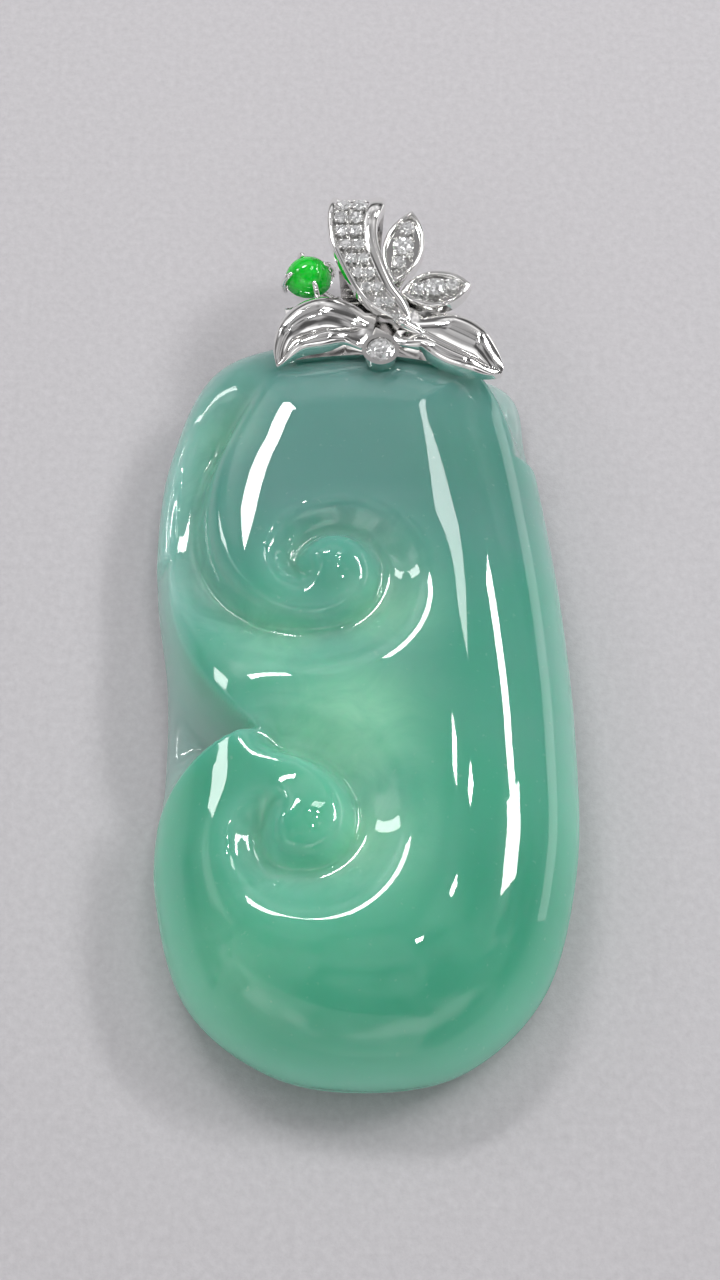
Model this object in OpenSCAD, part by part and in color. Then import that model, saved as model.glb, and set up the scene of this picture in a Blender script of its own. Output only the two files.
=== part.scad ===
// Carved jade ruyi pendant in a pave-set white-metal mount.
// The stone lies on its flat back: +X to the viewer's right, +Y towards the bail, +Z out of the carved face.
// The origin is the middle of the stone's flat back.

/* [Stone] */
// Length of the carved stone
stone_l = 54; // [50:0.5:60]
// Width of the carved stone at its widest
stone_w = 28; // [26:0.5:31]
// Thickness of the stone at the crown of its dome
stone_t = 8.6; // [7.8:0.1:9.6]
// Height of the stone's widest level above its flat back
girdle_h = 2.6; // [2:0.1:3.2]
// Distance from the stone's edge at which the dome reaches its crown
dome_run = 9; // [8.4:0.1:9.6]
// Rounding between the edge and the flat back
back_round = 2.2; // [1.4:0.1:3]

/* [Scroll carving] */
// Depth of the carved line around each scroll
line_depth = 1.5; // [0.8:0.1:1.9]
// Depth of the ledge left outside the upper scroll
ledge_depth = 2.4; // [1.4:0.1:2.8]
// Width of the steep side of each carved line
line_steep = 0.8; // [0.6:0.1:1.2]
// Width of the gentle side of each carved line
line_gentle = 2.4; // [1.6:0.1:3]
// Radius of the upper scroll's eye
upper_eye_r = 2.5; // [2:0.1:3]
// Radius of the lower scroll's eye
lower_eye_r = 3.3; // [2.6:0.1:3.6]
// Rise of each eye above the carved line
eye_rise = 0.5; // [0.2:0.1:0.8]
// Thickness of the clear flange in the notch between the scrolls
flange_t = 2.2; // [1.6:0.1:3]

/* [Cap and pins] */
// Depth of the cap's flat top below the stone's crown
cap_drop = 0.4; // [0.3:0.05:0.5]
// How far the cap reaches in over the stone's face
cap_reach = 4.2; // [3.8:0.1:4.4]
// Wall of the cap behind the stone's end
cap_wall = 0.6; // [0.5:0.05:0.8]
// Rounding of the cap's upper rear corner
cap_corner = 1; // [0.6:0.1:1.4]
// Cement gap between the metal and the stone
cement_gap = 0.12; // [0.08:0.01:0.2]
// Radius of the two pins
pin_r = 0.55; // [0.4:0.05:0.7]
// Depth to which the pins enter the stone
pin_depth = 5; // [3:0.5:6]
// Distance between the pins
pin_pitch = 5; // [4:0.5:6]
// Height of the pins above the stone's back
pin_z = 4.3; // [4:0.1:5]

/* [Plain leaves] */
// Thickness of a leaf along its edge
leaf_t = 0.5; // [0.4:0.05:0.6]
// Height of a leaf's two lobes above its edges
leaf_rise = 0.8; // [0.5:0.05:1]
// Half width of each leaf's upper lobe
upper_lobe_w = 2.7; // [2.4:0.1:2.8]
// Half width of each leaf's lower lobe
lower_lobe_w = 1.6; // [1.3:0.1:1.7]

/* [Bail] */
// Width of the bail's band where it bends over
band_w = 3.9; // [3.5:0.1:4.2]
// Thickness of the bail's band
band_t = 0.9; // [0.8:0.05:1.1]
// Height of the band's front above the stone's back
band_front_z = 10.2; // [10:0.1:10.8]
// Reach of the bail beyond the stone's end
band_reach = 9.6; // [9.2:0.1:11]
// Depth of the channel for the pave stones
channel_depth = 0.35; // [0.25:0.05:0.45]
// Width of the plain rim on the band's left side
left_rim_w = 0.5; // [0.3:0.05:0.6]
// Share of the band's width left plain on its right side
right_rim_share = 0.3; // [0.24:0.02:0.36]

/* [Set stones] */
// Radius of the largest pave stone
pave_r = 0.52; // [0.42:0.01:0.56]
// Distance between pave stones along the band
pave_pitch = 1.1; // [1.05:0.01:1.3]
// Play under and around a set stone
seat_play = 0.02; // [0.01:0.01:0.04]
// Radius of the stone in the round collar
collar_stone_r = 0.95; // [0.8:0.05:1]
// Height of the round collar
collar_h = 1; // [0.9:0.05:1.2]
// Radius of the green cabochon
cabochon_r = 1.62; // [1.5:0.02:1.7]
// Height of the green cabochon above its girdle
cabochon_h = 1.5; // [1.3:0.1:1.6]
// Radius of the wires that carry the three berries and buds
wire_r = 0.4; // [0.3:0.05:0.5]
// Height of the two bud frames
frame_h = 1; // [0.9:0.05:1.2]
// Rim of the two bud frames
frame_rim = 0.34; // [0.28:0.02:0.4]

/* [Hidden] */
$fn = 48;

top_y = stone_l / 2;

// Outline: control points in shares of width and length, from the bottom end up each side to the top end.
left_side = [[0.02, -0.5], [-0.2, -0.48], [-0.385, -0.4], [-0.462, -0.26], [-0.452, -0.125],
             [-0.456, 0.01], [-0.49, 0.155], [-0.465, 0.325], [-0.336, 0.462], [0.03, 0.5]];
right_side = [[0.02, -0.5], [0.235, -0.476], [0.41, -0.385], [0.49, -0.235], [0.5, -0.075],
              [0.485, 0.08], [0.455, 0.22], [0.415, 0.352], [0.36, 0.455], [0.03, 0.5]];
rows_per_span = 11;
spans = len(left_side) - 1;
rows = spans * rows_per_span;

function mix(a, b, t) = a + (b - a) * t;
function clamp(v, low, high) = min(max(v, low), high);
function ease(t) = let (u = clamp(t, 0, 1)) u * u * (3 - 2 * u);

// Catmull-Rom curve through one side, continued round the end by the other side's neighbour.
function side_control(own, other, i) = i < 0 ? other[1] : i > spans ? other[spans - 1] : own[i];
function curve_at(a, b, c, d, t) =
    0.5 * (2 * b + (c - a) * t + (2 * a - 5 * b + 4 * c - d) * t * t + (3 * b - a - 3 * c + d) * t * t * t);
function side_point(own, other, row) =
    let (i = min(floor(row / rows_per_span), spans - 1), t = row / rows_per_span - i,
         p = curve_at(side_control(own, other, i - 1), side_control(own, other, i),
                      side_control(own, other, i + 1), side_control(own, other, i + 2), t))
    [p.x * stone_w, p.y * stone_l];
left_rim = [for (k = [0 : rows]) side_point(left_side, right_side, k)];
right_rim = [for (k = [0 : rows]) side_point(right_side, left_side, k)];
rim = concat(left_rim, [for (k = [rows - 1 : -1 : 1]) right_rim[k]]);

function segment_gap(p, a, b) =
    let (ab = b - a, t = clamp((p - a) * ab / (ab * ab), 0, 1)) norm(p - a - ab * t);
function rim_gap(p) = min([for (i = [0 : 2 : len(rim) - 1]) segment_gap(p, rim[i], rim[(i + 2) % len(rim)])]);
function quarter_round(t) = sqrt(1 - pow(1 - clamp(t, 0, 1), 2));

// A carved spiral line: [centre, start angle, turning sense, start radius, eye radius, decay, hold, tighten, end]
upper_line = [[-1.8, 6.6], 105, 1, 15.8, upper_eye_r, 89, 420, 0.012, 500];
lower_line = [[-3.5, -11.5], 128, -1, 6.6, lower_eye_r, 45, 250, 0.012, 370];
function line_radius(line, a) =
    line[4] + (line[3] - line[4]) * exp(-a / line[5]) - line[7] * max(0, a - line[6]);
function turn_of(line, p) =
    let (q = p - line[0], a = line[2] * (atan2(q.y, q.x) - line[1])) a - 360 * floor(a / 360);
function line_cut(line, a, r, depth) =
    let (gap = r - line_radius(line, a),
         fade = ease(a / 25) * ease((line[8] - a) / 80),
         width = gap > 0 ? mix(line_gentle, line_gentle / 2, ease((a - 200) / 160)) : line_steep)
    a > line[8] ? 0 : depth * fade * exp(-pow(gap / width, 2));
function eye_bulge(line, r) = eye_rise * (1 - ease(r / line[4]));
function scroll_cut(line, p, outer_depth) =
    let (r = norm(p - line[0]), a = turn_of(line, p),
         depth = mix(outer_depth, line_depth, ease((a - 60) / 90)))
    max(line_cut(line, a, r, depth), line_cut(line, a + 360, r, line_depth)) - eye_bulge(line, r);

// The notch lies outside the two lobes' circles on the left; the shoulder outside the circle at the upper right.
upper_lobe = [[4, 8], 16.65];
lower_lobe = [[-5.4, -13], 7.9];
shoulder = [[2, 16.2], 8.5];
function notch_depth(p) =
    min(norm(p - upper_lobe[0]) - upper_lobe[1], norm(p - lower_lobe[0]) - lower_lobe[1],
        lower_lobe[0].x - 0.4 - p.x, p.y + 11.5, 9 - p.y);
function shoulder_depth(p) = min(norm(p - shoulder[0]) - shoulder[1], p.x - 6, p.y - shoulder[0].y);
function thin_share(p) = ease(max(notch_depth(p) + 0.2, (shoulder_depth(p) + 0.2) * 0.6) / 0.9);

function face_z(p, d) =
    let (body = girdle_h + (stone_t - girdle_h) * quarter_round(d / dome_run)
                - scroll_cut(upper_line, p, ledge_depth) * ease(d / 1.5)
                - scroll_cut(lower_line, p, line_depth) * ease(d / 1.5),
         flange = flange_t * (0.5 + 0.5 * quarter_round(d / 1.2)))
    mix(body, flange, thin_share(p));
function back_z(p, d) =
    mix(girdle_h, flange_t / 2, thin_share(p)) * (1 - quarter_round(d / back_round));

// Columns crowd towards both edges and over the carved left side.
left_columns = 31;
right_columns = 9;
carved_share = 0.58;
columns = left_columns + right_columns;
function column_share(j) =
    j <= left_columns
        ? let (v = j / left_columns) carved_share * v * (0.4 + 0.6 * v)
        : let (v = (columns - j) / right_columns) 1 - (1 - carved_share) * v * (0.25 + 0.75 * v);
back_shares = [0.985, 0.95, 0.88, 0.12, 0.05, 0.015];

function ring_points(k) =
    let (a = left_rim[k], b = right_rim[k])
    concat([for (j = [0 : columns])
                let (p = mix(a, b, column_share(j)), d = j == 0 || j == columns ? 0 : rim_gap(p))
                [p.x, p.y, face_z(p, d)]],
           [for (s = back_shares)
                let (p = mix(a, b, s)) [p.x, p.y, back_z(p, rim_gap(p))]]);
ring_size = columns + 1 + len(back_shares);

function pole(k, z) = [left_rim[k].x, left_rim[k].y, z];

// Skin over rings of equal size; a four-sided gap on a steep side is split along its flatter diagonal.
flat_enough = 0.1;
function quad(pts, a, b, c, d) =
    abs(pts[b].z - pts[d].z) + flat_enough < abs(pts[a].z - pts[c].z)
        ? [[b, c, d], [b, d, a]] : [[a, b, c], [a, c, d]];
function skin(pts, rings, size) =
    [for (k = [0 : rings - 2], j = [0 : size - 1])
        let (a = k * size + j, b = k * size + (j + 1) % size) each quad(pts, a, b, b + size, a + size)];
function fan_ends(rings, size) =
    concat([for (j = [0 : size - 1]) [rings * size, (j + 1) % size, j]],
           [for (j = [0 : size - 1])
                [rings * size + 1, (rings - 1) * size + j, (rings - 1) * size + (j + 1) % size]]);
function whole_ends(rings, size) =
    [[for (j = [size - 1 : -1 : 0]) j], [for (j = [0 : size - 1]) (rings - 1) * size + j]];
function split_ends(rings, size) =
    let (first = (rings - 1) * size, half = size / 2)
    concat([for (j = [0 : half - 2]) [size - 1 - j, size - 2 - j, j + 1, j]],
           [for (j = [0 : half - 2]) [first + j, first + j + 1, first + size - 2 - j, first + size - 1 - j]]);

// A closed solid over rings, drawn out to one point at each end.
module spindle(rings, size, first, last) {
    count = len(rings) / size;
    polyhedron(points = concat(rings, [first, last]),
               faces = concat(skin(rings, count, size), fan_ends(count, size)));
}

// A closed solid over rings with flat ends. A hollow ring's ends are split into faces between its two sides.
module sleeve(rings, size, hollow) {
    count = len(rings) / size;
    ends = hollow ? split_ends(count, size) : whole_ends(count, size);
    polyhedron(points = rings, faces = concat(skin(rings, count, size), ends));
}

// Profile of the stone's end, seen across the rim: outward distance and height, moved outward by e.
function seat_point(a, e) =
    let (run = a > 0 ? dome_run : back_round, rise = a > 0 ? stone_t - girdle_h : girdle_h,
         n = [cos(a) / run, sin(a) / rise])
    [run * (cos(a) - 1), girdle_h + rise * sin(a)] + n * e / norm(n);

cap_top_z = stone_t - cap_drop;
wall_out = cement_gap + cap_wall;
front_angle = acos(1 - cap_reach / dome_run);
seat_angles = [1, 0.84, 0.66, 0.48, 0.28, 0.08];
under_angles = [-8, -22, -36];
cap_profile = concat(
    [for (f = seat_angles) seat_point(f * front_angle, cement_gap)],
    [for (a = under_angles) seat_point(a, cement_gap)],
    [for (i = [len(under_angles) - 1 : -1 : 0]) seat_point(under_angles[i], wall_out)],
    [for (a = [0 : 22.5 : 90])
        [wall_out - cap_corner + cap_corner * cos(a), cap_top_z - cap_corner + cap_corner * sin(a)]],
    [[-cap_reach, cap_top_z]]);

// Rim of the stone's upper end, counted from its highest control point: negative to the left.
cap_half = 6;
function end_point(k) = k <= 0 ? left_rim[rows + k] : right_rim[rows - k];
function end_normal(k) =
    let (t = end_point(k + 1) - end_point(k - 1)) [-t.y, t.x] / norm(t);
function wall_y(x) = lookup(x, [for (k = [-9 : 9]) let (p = end_point(k) + end_normal(k) * wall_out) [p.x, p.y]]);
end_x = end_point(0).x;

// A pair of round pins along Y: both start at from_y and end a distance short of the cap's rear wall.
module pin_pair(r, from_y, short) {
    for (side = [-1, 1])
        let (x = end_x + side * pin_pitch / 2)
            translate([x, from_y, pin_z]) rotate([-90, 0, 0]) cylinder(r = r, h = wall_y(x) - short - from_y);
}
pin_tip_y = top_y - pin_depth;
pin_short = cap_wall * 0.6;
socket_y = top_y - cap_reach / 2;
fit = 0.01;

module jade_stone() {
    rings = [for (k = [1 : rows - 1]) each ring_points(k)];
    color("mediumseagreen")
        difference() {
            spindle(rings, ring_size, pole(0, girdle_h), pole(rows, girdle_h));
            pin_pair(pin_r + cement_gap, pin_tip_y - cement_gap, -cap_wall);
        }
}

module cap() {
    rings = [for (k = [-cap_half : cap_half], q = cap_profile)
                let (p = end_point(k) + end_normal(k) * q.x) [p.x, p.y, q.y]];
    color("silver")
        difference() {
            sleeve(rings, len(cap_profile), true);
            pin_pair(pin_r + fit, socket_y, pin_short - fit);
        }
}

module cap_pins() {
    color("silver") pin_pair(pin_r, pin_tip_y, pin_short);
}

module pin_cement() {
    sleeve_short = 3 * cap_wall;
    color("ivory")
        difference() {
            pin_pair(pin_r + cement_gap - fit, pin_tip_y, sleeve_short);
            pin_pair(pin_r + fit, pin_tip_y - 1, 0);
        }
}

// A leaf with two rounded lobes and a sunk midrib. rib is the midrib's curve [root, bend, tip]. shape is
// [place of the widest part, width of the upper lobe at the root, the same of the lower lobe, sharpness].
leaf_steps = 18;
lobe = [[1, 0], [0.9, 0.55], [0.66, 0.95], [0.36, 0.85], [0.12, 0.45]];
leaf_ring_size = 2 * len(lobe) + 3;
tip_drop = 0.35;
function rib_point(rib, s) = rib[0] * pow(1 - s, 2) + rib[1] * 2 * s * (1 - s) + rib[2] * s * s;
function leaf_ring(rib, s, shape) =
    let (p = rib_point(rib, s), t = rib_point(rib, s + 0.01) - rib_point(rib, s - 0.01),
         n = [-t.y, t.x] / norm(t) * sign(t.x), swell = pow(sin(180 * pow(s, shape[0])), shape[3]),
         up = n * upper_lobe_w * max(shape[1] * (1 - s), swell),
         down = n * lower_lobe_w * max(shape[2] * (1 - s), swell),
         rise = leaf_rise * ease(s * 2.4) * ease((1 - s) * 3), base = cap_top_z - tip_drop * pow(s, 4),
         top = base + leaf_t)
    [[p.x - down.x, p.y - down.y, base],
     for (q = lobe) let (c = p - down * q.x) [c.x, c.y, top + rise * q.y],
     [p.x, p.y, top + rise * 0.1],
     for (i = [len(lobe) - 1 : -1 : 0]) let (c = p + up * lobe[i].x) [c.x, c.y, top + rise * lobe[i].y],
     [p.x + up.x, p.y + up.y, base]];
module leaf(rib, shape) {
    size = leaf_ring_size;
    to_left = rib[2].x < rib[0].x;
    rings = [for (i = [1 : leaf_steps]) each leaf_ring(rib, (i - 0.5) / leaf_steps, shape)];
    turned = [for (k = [0 : leaf_steps - 1], j = [0 : size - 1]) rings[k * size + (to_left ? j : size - 1 - j)]];
    root_z = cap_top_z + leaf_t / 2;
    spindle(turned, size, [rib[0].x, rib[0].y, root_z], [rib[2].x, rib[2].y, root_z - tip_drop]);
}

left_rib = [[0.036 * stone_w, top_y - 2.4], [-0.143 * stone_w, top_y - 1.7], [-0.2 * stone_w, top_y - 5.3]];
right_rib = [[0.1 * stone_w, top_y - 2], [0.221 * stone_w, top_y - 4.1], [0.346 * stone_w, top_y - 5.75]];
left_shape = [0.76, 0.5, 1.12, 0.9];
right_shape = [1.08, 0.55, 1.05, 0.7];
module left_leaf() {
    color("gainsboro") leaf(left_rib, left_shape);
}
module right_leaf() {
    color("gainsboro") leaf(right_rib, right_shape);
}

// The bail's band, from its lower tip over the top bend to the rear of the cap. In each row are the
// distance beyond the stone's end as a share of the reach, the outer face's height as a share of the
// front's height, and the left and right edges as shares of the width.
band_controls = [
    [-0.26, 0.955, 0.66, 0.82], [-0.2, 0.96, 0.46, 0.89], [-0.094, 0.97, 0.09, 0.82], [0.062, 0.985, -0.17, 0.59],
    [0.365, 1, -0.49, 0.35], [0.594, 1, -0.59, 0.32], [0.79, 0.975, -0.55, 0.45], [0.963, 0.81, -0.49, 0.45],
    [1, 0.53, -0.45, 0.42], [0.875, 0.216, -0.41, 0.38], [0.625, 0.078, -0.36, 0.37], [0.333, 0.098, -0.31, 0.38],
    [(wall_out + 0.03) / band_reach, 0.21, -0.26, 0.41]];
last_span = len(band_controls) - 1;
function band_control(i) =
    i < 0 ? band_controls[0] * 2 - band_controls[1]
    : i > last_span ? band_controls[last_span] * 2 - band_controls[last_span - 1] : band_controls[i];
function band_at(u) =
    let (i = min(floor(u), last_span - 1), t = u - i,
         q = curve_at(band_control(i - 1), band_control(i), band_control(i + 1), band_control(i + 2), t))
    [q[0] * band_reach, q[1] * band_front_z, q[2] * band_w, q[3] * band_w];
function band_tangent(u) =
    let (a = band_at(max(u - 0.02, 0)), b = band_at(min(u + 0.02, last_span)), d = [b[0] - a[0], b[1] - a[1]])
    d / norm(d);
function band_point(u, x, depth) =
    let (c = band_at(u), t = band_tangent(u)) [x, top_y + c[0] + t.y * depth, c[1] - t.x * depth];
set_from = 0.7;
set_to = 5.8;
function channel(u) =
    let (c = band_at(u), w = c[3] - c[2]) [c[2] + min(left_rim_w, w / 4), c[3] - w * right_rim_share];
function sunk(u) = u > set_from - 0.1 && u < set_to + 0.3 ? channel_depth : 0;
band_edge = 0.12;
channel_slope = 0.04;
function band_ring(u) =
    let (c = band_at(u), g = channel(u), d = sunk(u), edge = min(band_edge, (c[3] - c[2]) / 8))
    [band_point(u, c[2], band_t), band_point(u, c[2], edge), band_point(u, c[2] + edge, 0),
     band_point(u, g[0], 0), band_point(u, g[0] + channel_slope, d), band_point(u, g[1] - channel_slope, d),
     band_point(u, g[1], 0), band_point(u, c[3] - edge, 0), band_point(u, c[3], edge),
     band_point(u, c[3], band_t)];
module bail() {
    steps = 4;
    color("silver") sleeve([for (i = [0 : last_span * steps]) each band_ring(i / steps)], 10, false);
}

// A cut stone standing on its flattened lower end.
module cut_stone(r, depth) {
    cylinder(r1 = r * 0.55, r2 = r, h = depth * 0.55, $fn = 8);
    translate([0, 0, depth * 0.55]) cylinder(r1 = r, r2 = r * 0.62, h = depth * 0.45, $fn = 8);
}
stone_depth = 0.62;

// Places along the band at equal steps of its length.
walk_step = 0.05;
walk = [for (u = set_from, run = 0; u <= set_to;
             run = run + norm(band_point(u + walk_step, 0, 0) - band_point(u, 0, 0)), u = u + walk_step) [run, u]];
set_length = walk[len(walk) - 1][0];
set_rows = floor(set_length / pave_pitch);
module bail_stones() {
    color("white")
        for (i = [0 : set_rows]) {
            u = lookup(i * set_length / set_rows, walk);
            g = channel(u);
            w = g[1] - g[0];
            r = min(pave_r, w / 4 - seat_play);
            t = band_tangent(u);
            for (side = [-1, 1])
                translate(band_point(u, (g[0] + g[1]) / 2 + side * w / 4, channel_depth - seat_play))
                    rotate([-90 + atan2(t.x, -t.y), 0, 0]) rotate([0, 0, 22.5]) cut_stone(r, stone_depth);
        }
}

collar_at = [0.05 * stone_w, top_y - 4.4];
collar_wall = 0.15;
collar_flare = 0.17;
collar_seat_depth = 0.62;
collar_stone_depth = 0.85;
collar_seat_z = cap_top_z + collar_h - collar_seat_depth;
module collar() {
    foot_r = collar_stone_r + collar_wall;
    color("silver")
        difference() {
            translate([collar_at.x, collar_at.y, cap_top_z])
                cylinder(r1 = foot_r, r2 = foot_r + collar_flare, h = collar_h);
            translate([collar_at.x, collar_at.y, collar_seat_z])
                cylinder(r = collar_stone_r + seat_play, h = collar_h);
        }
}
module collar_stone() {
    color("white")
        translate([collar_at.x, collar_at.y, collar_seat_z + seat_play])
            cut_stone(collar_stone_r, collar_stone_depth);
}

// A bud: pointed frame with a sunk floor for three stones, drawn along +X from its base.
module pointed_oval(l, w) {
    big_r = (l * l + w * w) / (4 * w);
    intersection() {
        translate([l / 2, big_r - w / 2]) circle(r = big_r, $fn = 96);
        translate([l / 2, w / 2 - big_r]) circle(r = big_r, $fn = 96);
    }
}
module bud_frame(l, w) {
    difference() {
        linear_extrude(frame_h) pointed_oval(l, w);
        translate([frame_rim * 1.6, 0, frame_h - channel_depth])
            linear_extrude(1) pointed_oval(l - frame_rim * 3.2, w - frame_rim * 2);
    }
}
module bud_stones(l, stones) {
    for (q = stones)
        translate([l * q[0], 0, frame_h - channel_depth + seat_play]) rotate([0, 0, 22.5]) cut_stone(q[1], stone_depth + 0.1);
}
// Each bud: [base, angle, length, width]. Each bud stone: [place along the bud as a share, radius].
upper_bud = [[2.35, top_y + 1.2], 78, 6.4, 2.9];
side_bud = [[2.75, top_y + 0.35], 9, 5, 3];
upper_stones = [[0.26, 0.5], [0.49, 0.74], [0.73, 0.52]];
side_stones = [[0.25, 0.44], [0.49, 0.7], [0.73, 0.44]];
module place_bud(bud) {
    translate([bud[0].x, bud[0].y, cap_top_z]) rotate([0, 0, bud[1]]) children();
}
module upper_bud_frame() { color("gainsboro") place_bud(upper_bud) bud_frame(upper_bud[2], upper_bud[3]); }
module upper_bud_stones() { color("white") place_bud(upper_bud) bud_stones(upper_bud[2], upper_stones); }
module side_bud_frame() { color("gainsboro") place_bud(side_bud) bud_frame(side_bud[2], side_bud[3]); }
module side_bud_stones() { color("white") place_bud(side_bud) bud_stones(side_bud[2], side_stones); }

// The green berry: cabochon in a cup with four prongs.
berry_at = [-3.6, top_y + 2.75];
berry_z = 7.5;
cup_floor = 0.3;
cup_h = 0.6;
module cabochon_cup() {
    color("silver")
        translate([berry_at.x, berry_at.y, berry_z - cup_h])
            difference() {
                cylinder(r1 = cabochon_r * 0.7, r2 = cabochon_r + 0.05, h = cup_h);
                translate([0, 0, cup_floor]) cylinder(r1 = cabochon_r * 0.7, r2 = cabochon_r * 0.9, h = cup_h);
            }
}
module green_cabochon() {
    ball_r = (cabochon_r * cabochon_r + cabochon_h * cabochon_h) / (2 * cabochon_h);
    color("limegreen")
        translate([berry_at.x, berry_at.y, berry_z + seat_play])
            intersection() {
                translate([0, 0, cabochon_h - ball_r]) sphere(r = ball_r, $fn = 64);
                cylinder(r = cabochon_r, h = cabochon_h + 1);
            }
}
prong_r = 0.2;
prong_l = cup_h + cabochon_h / 2;
prong_lean = 10;
module cabochon_prongs() {
    color("silver")
        for (a = [20 : 90 : 290])
            translate([berry_at.x, berry_at.y, berry_z - cup_h]) rotate([0, 0, a])
                translate([cabochon_r + prong_r + 0.14, 0, 0]) rotate([0, -prong_lean, 0]) {
                    cylinder(r = prong_r, h = prong_l);
                    translate([0, 0, prong_l]) sphere(r = prong_r + 0.06);
                }
}

// Round wire from one point to another with a ball of solder at each end.
solder_r = wire_r * 1.3;
module wire(a, b) {
    d = b - a;
    translate(a)
        rotate([0, acos(d.z / norm(d)), atan2(d.y, d.x)]) {
            sphere(r = solder_r);
            cylinder(r = wire_r, h = norm(d));
            translate([0, 0, norm(d)]) sphere(r = solder_r);
        }
}
wire_z = 6.7;
function from_wall(x, z) = [x, wall_y(x) + solder_r, z];
module berry_wires() {
    color("silver") {
        wire(from_wall(-1.6, wire_z), [berry_at.x, berry_at.y, berry_z - cup_h - solder_r]);
        wire(from_wall(2.4, wire_z), [upper_bud[0].x + 0.3, upper_bud[0].y + 1.8, cap_top_z - solder_r]);
        wire(from_wall(4.2, wire_z), [side_bud[0].x + 2.4, side_bud[0].y + 1.4, cap_top_z - solder_r]);
    }
}

jade_stone();
cap();
cap_pins();
pin_cement();
left_leaf();
right_leaf();
bail();
bail_stones();
collar();
collar_stone();
upper_bud_frame();
upper_bud_stones();
side_bud_frame();
side_bud_stones();
cabochon_cup();
cabochon_prongs();
green_cabochon();
berry_wires();
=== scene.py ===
import math

import bpy
import numpy as np
from mathutils import Matrix, Vector


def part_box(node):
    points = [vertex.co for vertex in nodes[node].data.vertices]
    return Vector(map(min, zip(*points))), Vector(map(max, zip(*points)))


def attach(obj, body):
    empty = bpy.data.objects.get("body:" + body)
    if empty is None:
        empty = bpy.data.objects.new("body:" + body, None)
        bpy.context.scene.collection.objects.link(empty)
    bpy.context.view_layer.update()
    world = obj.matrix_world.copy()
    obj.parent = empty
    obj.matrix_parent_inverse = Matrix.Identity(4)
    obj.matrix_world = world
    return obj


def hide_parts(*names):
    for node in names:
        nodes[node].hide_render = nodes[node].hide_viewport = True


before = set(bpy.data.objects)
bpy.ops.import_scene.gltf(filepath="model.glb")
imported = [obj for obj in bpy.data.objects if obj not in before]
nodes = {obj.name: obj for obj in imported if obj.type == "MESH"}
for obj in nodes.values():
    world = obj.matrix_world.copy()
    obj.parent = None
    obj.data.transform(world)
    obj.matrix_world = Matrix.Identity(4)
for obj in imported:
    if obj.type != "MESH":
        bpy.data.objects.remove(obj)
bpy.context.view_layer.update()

# Looks of a carved jade ruyi pendant in a stone-set white-metal mount, lying on its back.
# Lengths are in millimetres up to the point where a mesh, a material or a lamp is made.
MM = 0.001


def node_box(name):
    """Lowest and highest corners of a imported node, in millimetres."""
    low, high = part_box(name)
    return np.array(low) / MM, np.array(high) / MM


stone_low, stone_high = node_box("jade_stone")
top_y = stone_high[1]
cap_top_z = node_box("cap")[1][2]

# Stone: the same driving sizes as in the part's source.
stone_l = 54.0
stone_w = 28.0
stone_t = 8.6
girdle_h = 2.6
dome_run = 9.0
back_round = 2.2

# Scrolls: depths of a carved line and of the ledge outside it, spread of a line's steep and gentle side, how far
# the eye stands up, and the clear flange's thickness.
line_depth = 1.5
ledge_depth = 2.4
line_steep = 0.8
line_gentle = 2.4
eye_rise = 0.5
flange_t = 2.2

# Outline from the lower end to the upper one, as shares of the width and the length.
left_side = [(0.02, -0.5), (-0.2, -0.48), (-0.385, -0.4), (-0.462, -0.26), (-0.452, -0.125),
             (-0.456, 0.01), (-0.49, 0.155), (-0.465, 0.325), (-0.336, 0.462), (0.03, 0.5)]
right_side = [(0.02, -0.5), (0.235, -0.476), (0.41, -0.385), (0.49, -0.235), (0.5, -0.075),
              (0.485, 0.08), (0.455, 0.22), (0.415, 0.352), (0.36, 0.455), (0.03, 0.5)]

# Carved lines: angles in degrees from start; the radius falls from reach to eye and tightens past hold.
upper_line = dict(centre=(-1.8, 6.6), start=105, turn=1, reach=15.8, eye=2.5, decay=89, hold=420, tighten=0.012,
                  end=500)
lower_line = dict(centre=(-3.5, -11.5), start=128, turn=-1, reach=6.6, eye=3.3, decay=45, hold=250, tighten=0.012,
                  end=370)

# Discs that bound the thick body, each a centre and a radius: what lies outside them is flange or tip.
upper_lobe = ((4.0, 8.0), 16.65)
lower_lobe = ((-5.4, -13.0), 7.9)
shoulder = ((2.0, 16.2), 8.5)


def ease(t):
    """Smooth step from 0 to 1."""
    u = np.clip(t, 0, 1)
    return u * u * (3 - 2 * u)


def quarter_round(t):
    """Height of a quarter circle from its foot at 0 to its top at 1."""
    return np.sqrt(1 - (1 - np.clip(t, 0, 1)) ** 2)


def catmull(rows, u):
    """Point at u on the curve through rows; the rows before the first and after the last are included."""
    i = min(int(u), len(rows) - 4)
    t = u - i
    a, b, c, d = (np.array(r, float) for r in rows[i:i + 4])
    return 0.5 * (2 * b + (c - a) * t + (2 * a - 5 * b + 4 * c - d) * t * t + (3 * b - a - 3 * c + d) * t ** 3)


def side_curve(own, other, per_span):
    """Points along one side of the outline; the other side gives the slope at both ends."""
    rows = [other[1]] + own + [other[-2]]
    count = (len(own) - 1) * per_span
    return np.array([catmull(rows, k / per_span) for k in range(count + 1)]) * (stone_w, stone_l)


def with_ends(rows):
    """Rows with one more at each end, in line with its neighbours, as catmull needs."""
    return [rows[0] * 2 - rows[1], *rows, rows[-1] * 2 - rows[-2]]


RIM_STEPS = 36
GAP_STRIDE = 3
left_rim = side_curve(left_side, right_side, RIM_STEPS)
right_rim = side_curve(right_side, left_side, RIM_STEPS)
rim = np.vstack([left_rim, right_rim[-2:0:-1]])[::GAP_STRIDE]


def rim_gap(p):
    """Distance of each point from the outline."""
    best = np.full(p.shape[:-1], np.inf)
    for a, b in zip(rim, np.roll(rim, -1, 0)):
        along = b - a
        t = np.clip((p - a) @ along / (along @ along), 0, 1)
        best = np.minimum(best, np.linalg.norm(p - a - t[..., None] * along, axis=-1))
    return best


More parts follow.
